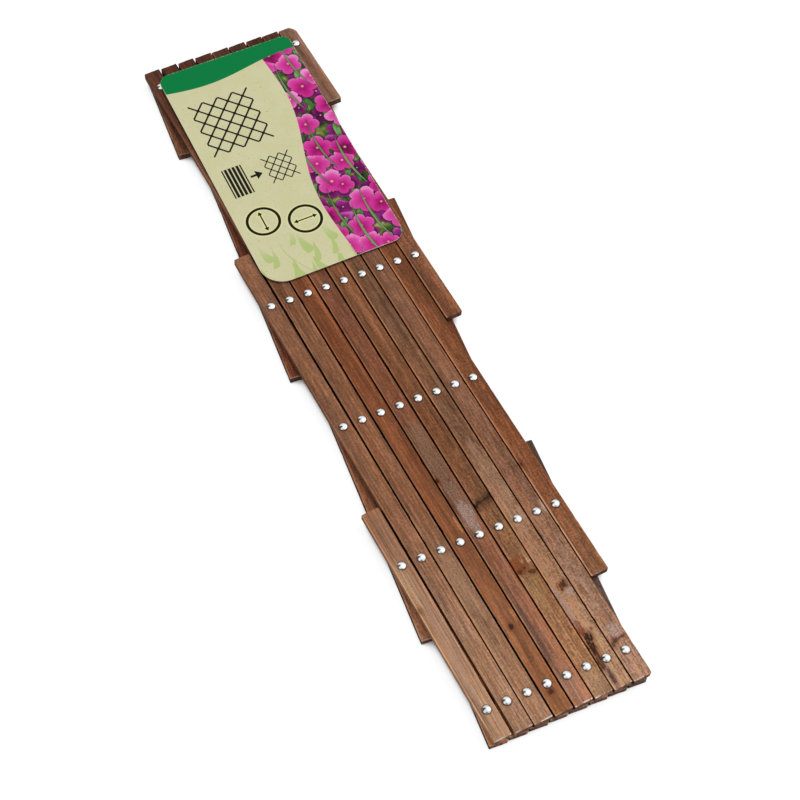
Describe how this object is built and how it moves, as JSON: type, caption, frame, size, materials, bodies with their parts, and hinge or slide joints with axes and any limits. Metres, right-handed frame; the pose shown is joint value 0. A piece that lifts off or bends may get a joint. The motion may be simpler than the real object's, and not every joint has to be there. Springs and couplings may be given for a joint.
{
  "type": "expandable trellis",
  "caption": "Expanding garden trellis folded flat: crossed layers of stained wooden slats hinged on domed metal rivets, with a printed card lying on one end.",
  "frame": {"origin": "on the ground plane under the middle of the folded trellis, which lies on its back", "axes": "+X across the slats to the right seen from the front with the card end up, +Y along them to the card end, +Z out of the front"},
  "size_m": [0.18, 0.802, 0.0182],
  "materials": {
    "stained_wood": "sawn softwood lath, brown stain, worn matt",
    "rivet_metal": "bright zinc plate",
    "printed_card": "satin printed card"
  },
  "bodies": {
    "front_slat_01": {"front_slat_01": "stained_wood", "rivet_row5_1": "rivet_metal", "rivet_row6_1": "rivet_metal"},
    "front_slat_02": {"front_slat_02": "stained_wood", "rivet_row3_1": "rivet_metal", "rivet_row4_1": "rivet_metal", "rivet_row5_2": "rivet_metal", "rivet_row6_2": "rivet_metal"},
    "front_slat_03": {"front_slat_03": "stained_wood", "rivet_row3_2": "rivet_metal", "rivet_row4_2": "rivet_metal", "rivet_row5_3": "rivet_metal", "rivet_row6_3": "rivet_metal"},
    "front_slat_04": {"front_slat_04": "stained_wood", "rivet_row3_3": "rivet_metal", "rivet_row4_3": "rivet_metal", "rivet_row5_4": "rivet_metal", "rivet_row6_4": "rivet_metal"},
    "front_slat_05": {"front_slat_05": "stained_wood", "rivet_row3_4": "rivet_metal", "rivet_row4_4": "rivet_metal", "rivet_row5_5": "rivet_metal", "rivet_row6_5": "rivet_metal"},
    "front_slat_06": {"front_slat_06": "stained_wood", "rivet_row3_5": "rivet_metal", "rivet_row4_5": "rivet_metal", "rivet_row5_6": "rivet_metal", "rivet_row6_6": "rivet_metal"},
    "front_slat_07": {"front_slat_07": "stained_wood", "rivet_row3_6": "rivet_metal", "rivet_row4_6": "rivet_metal", "rivet_row5_7": "rivet_metal", "rivet_row6_7": "rivet_metal"},
    "front_slat_08": {"front_slat_08": "stained_wood", "rivet_row3_7": "rivet_metal", "rivet_row4_7": "rivet_metal", "rivet_row5_8": "rivet_metal", "rivet_row6_8": "rivet_metal"},
    "front_slat_09": {"front_slat_09": "stained_wood", "rivet_row3_8": "rivet_metal", "rivet_row4_8": "rivet_metal", "rivet_row5_9": "rivet_metal"},
    "front_slat_10": {"front_slat_10": "stained_wood", "rivet_row3_9": "rivet_metal"},
    "front_slat_11": {"front_slat_11": "stained_wood", "rivet_row1_9": "rivet_metal"},
    "back_slat_01": {"back_slat_01": "stained_wood"},
    "back_slat_02": {"back_slat_02": "stained_wood"},
    "back_slat_03": {"back_slat_03": "stained_wood"},
    "back_slat_04": {"back_slat_04": "stained_wood"},
    "back_slat_05": {"back_slat_05": "stained_wood"},
    "back_slat_06": {"back_slat_06": "stained_wood"},
    "back_slat_07": {"back_slat_07": "stained_wood"},
    "back_slat_08": {"back_slat_08": "stained_wood"},
    "back_slat_09": {"back_slat_09": "stained_wood"},
    "back_slat_10": {"back_slat_10": "stained_wood"},
    "back_slat_11": {"back_slat_11": "stained_wood"},
    "label_card": {"label_card": "printed_card"}
  },
  "joints": [
    {"name": "fold", "type": "hinge", "parent": "front_slat_06", "child": "back_slat_04", "pos_m": [-0.01897, 0.3765, 0.00765], "axis": [0, 0, -1], "range_deg": [0, 82.76]},
    {"name": "back_slat_05_pivot", "type": "hinge", "parent": "front_slat_06", "child": "back_slat_05", "pos_m": [-0.0095, 0.2268, 0.00765], "axis": [0, 0, -1], "range_deg": [0, 82.76]},
    {"name": "back_slat_06_pivot", "type": "hinge", "parent": "front_slat_06", "child": "back_slat_06", "pos_m": [-0.00003, 0.0771, 0.00765], "axis": [0, 0, -1], "range_deg": [0, 82.76]},
    {"name": "back_slat_07_pivot", "type": "hinge", "parent": "front_slat_06", "child": "back_slat_07", "pos_m": [0.00944, -0.07261, 0.00765], "axis": [0, 0, -1], "range_deg": [0, 82.76]},
    {"name": "back_slat_08_pivot", "type": "hinge", "parent": "front_slat_06", "child": "back_slat_08", "pos_m": [0.01891, -0.22231, 0.00765], "axis": [0, 0, -1], "range_deg": [0, 82.76]},
    {"name": "back_slat_09_pivot", "type": "hinge", "parent": "front_slat_06", "child": "back_slat_09", "pos_m": [0.02838, -0.37201, 0.00765], "axis": [0, 0, -1], "range_deg": [0, 82.76]},
    {"name": "front_slat_05_pivot", "type": "hinge", "parent": "back_slat_04", "child": "front_slat_05", "pos_m": [-0.02844, 0.2268, 0.00765], "axis": [0, 0, 1], "range_deg": [0, 82.76]},
    {"name": "front_slat_04_pivot", "type": "hinge", "parent": "back_slat_04", "child": "front_slat_04", "pos_m": [-0.03791, 0.0771, 0.00765], "axis": [0, 0, 1], "range_deg": [0, 82.76]},
    {"name": "front_slat_03_pivot", "type": "hinge", "parent": "back_slat_04", "child": "front_slat_03", "pos_m": [-0.04738, -0.07261, 0.00765], "axis": [0, 0, 1], "range_deg": [0, 82.76]},
    {"name": "front_slat_02_pivot", "type": "hinge", "parent": "back_slat_04", "child": "front_slat_02", "pos_m": [-0.05684, -0.22231, 0.00765], "axis": [0, 0, 1], "range_deg": [0, 82.76]},
    {"name": "front_slat_01_pivot", "type": "hinge", "parent": "back_slat_04", "child": "front_slat_01", "pos_m": [-0.06631, -0.37201, 0.00765], "axis": [0, 0, 1], "range_deg": [0, 82.76]},
    {"name": "front_slat_07_pivot", "type": "hinge", "parent": "back_slat_09", "child": "front_slat_07", "pos_m": [0.03784, -0.22231, 0.00765], "axis": [0, 0, 1], "range_deg": [0, 82.76]},
    {"name": "front_slat_08_pivot", "type": "hinge", "parent": "back_slat_09", "child": "front_slat_08", "pos_m": [0.04731, -0.07261, 0.00765], "axis": [0, 0, 1], "range_deg": [0, 82.76]},
    {"name": "front_slat_09_pivot", "type": "hinge", "parent": "back_slat_09", "child": "front_slat_09", "pos_m": [0.05678, 0.0771, 0.00765], "axis": [0, 0, 1], "range_deg": [0, 82.76]},
    {"name": "front_slat_10_pivot", "type": "hinge", "parent": "back_slat_09", "child": "front_slat_10", "pos_m": [0.06625, 0.2268, 0.00765], "axis": [0, 0, 1], "range_deg": [0, 82.76]},
    {"name": "front_slat_11_pivot", "type": "hinge", "parent": "back_slat_09", "child": "front_slat_11", "pos_m": [0.07572, 0.3765, 0.00765], "axis": [0, 0, 1], "range_deg": [0, 82.76]},
    {"name": "back_slat_01_pivot", "type": "hinge", "parent": "front_slat_03", "child": "back_slat_01", "pos_m": [-0.07578, 0.3765, 0.00765], "axis": [0, 0, -1], "range_deg": [0, 82.76]},
    {"name": "back_slat_02_pivot", "type": "hinge", "parent": "front_slat_03", "child": "back_slat_02", "pos_m": [-0.06631, 0.2268, 0.00765], "axis": [0, 0, -1], "range_deg": [0, 82.76]},
    {"name": "back_slat_03_pivot", "type": "hinge", "parent": "front_slat_03", "child": "back_slat_03", "pos_m": [-0.05684, 0.0771, 0.00765], "axis": [0, 0, -1], "range_deg": [0, 82.76]},
    {"name": "back_slat_10_pivot", "type": "hinge", "parent": "front_slat_09", "child": "back_slat_10", "pos_m": [0.06625, -0.07261, 0.00765], "axis": [0, 0, -1], "range_deg": [0, 82.76]},
    {"name": "back_slat_11_pivot", "type": "hinge", "parent": "front_slat_09", "child": "back_slat_11", "pos_m": [0.07572, -0.22231, 0.00765], "axis": [0, 0, -1], "range_deg": [0, 82.76]},
    {"name": "card_lift", "type": "slide", "parent": "front_slat_06", "child": "label_card", "axis": [0, 0, 1], "range_m": [0, 0.1]}
  ],
  "couplings": [
    {"joint": "back_slat_05_pivot", "follows": "fold", "ratio": 1},
    {"joint": "back_slat_06_pivot", "follows": "fold", "ratio": 1},
    {"joint": "back_slat_07_pivot", "follows": "fold", "ratio": 1},
    {"joint": "back_slat_08_pivot", "follows": "fold", "ratio": 1},
    {"joint": "back_slat_09_pivot", "follows": "fold", "ratio": 1},
    {"joint": "front_slat_05_pivot", "follows": "fold", "ratio": 1},
    {"joint": "front_slat_04_pivot", "follows": "fold", "ratio": 1},
    {"joint": "front_slat_03_pivot", "follows": "fold", "ratio": 1},
    {"joint": "front_slat_02_pivot", "follows": "fold", "ratio": 1},
    {"joint": "front_slat_01_pivot", "follows": "fold", "ratio": 1},
    {"joint": "front_slat_07_pivot", "follows": "fold", "ratio": 1},
    {"joint": "front_slat_08_pivot", "follows": "fold", "ratio": 1},
    {"joint": "front_slat_09_pivot", "follows": "fold", "ratio": 1},
    {"joint": "front_slat_10_pivot", "follows": "fold", "ratio": 1},
    {"joint": "front_slat_11_pivot", "follows": "fold", "ratio": 1},
    {"joint": "back_slat_01_pivot", "follows": "fold", "ratio": 1},
    {"joint": "back_slat_02_pivot", "follows": "fold", "ratio": 1},
    {"joint": "back_slat_03_pivot", "follows": "fold", "ratio": 1},
    {"joint": "back_slat_10_pivot", "follows": "fold", "ratio": 1},
    {"joint": "back_slat_11_pivot", "follows": "fold", "ratio": 1}
  ]
}
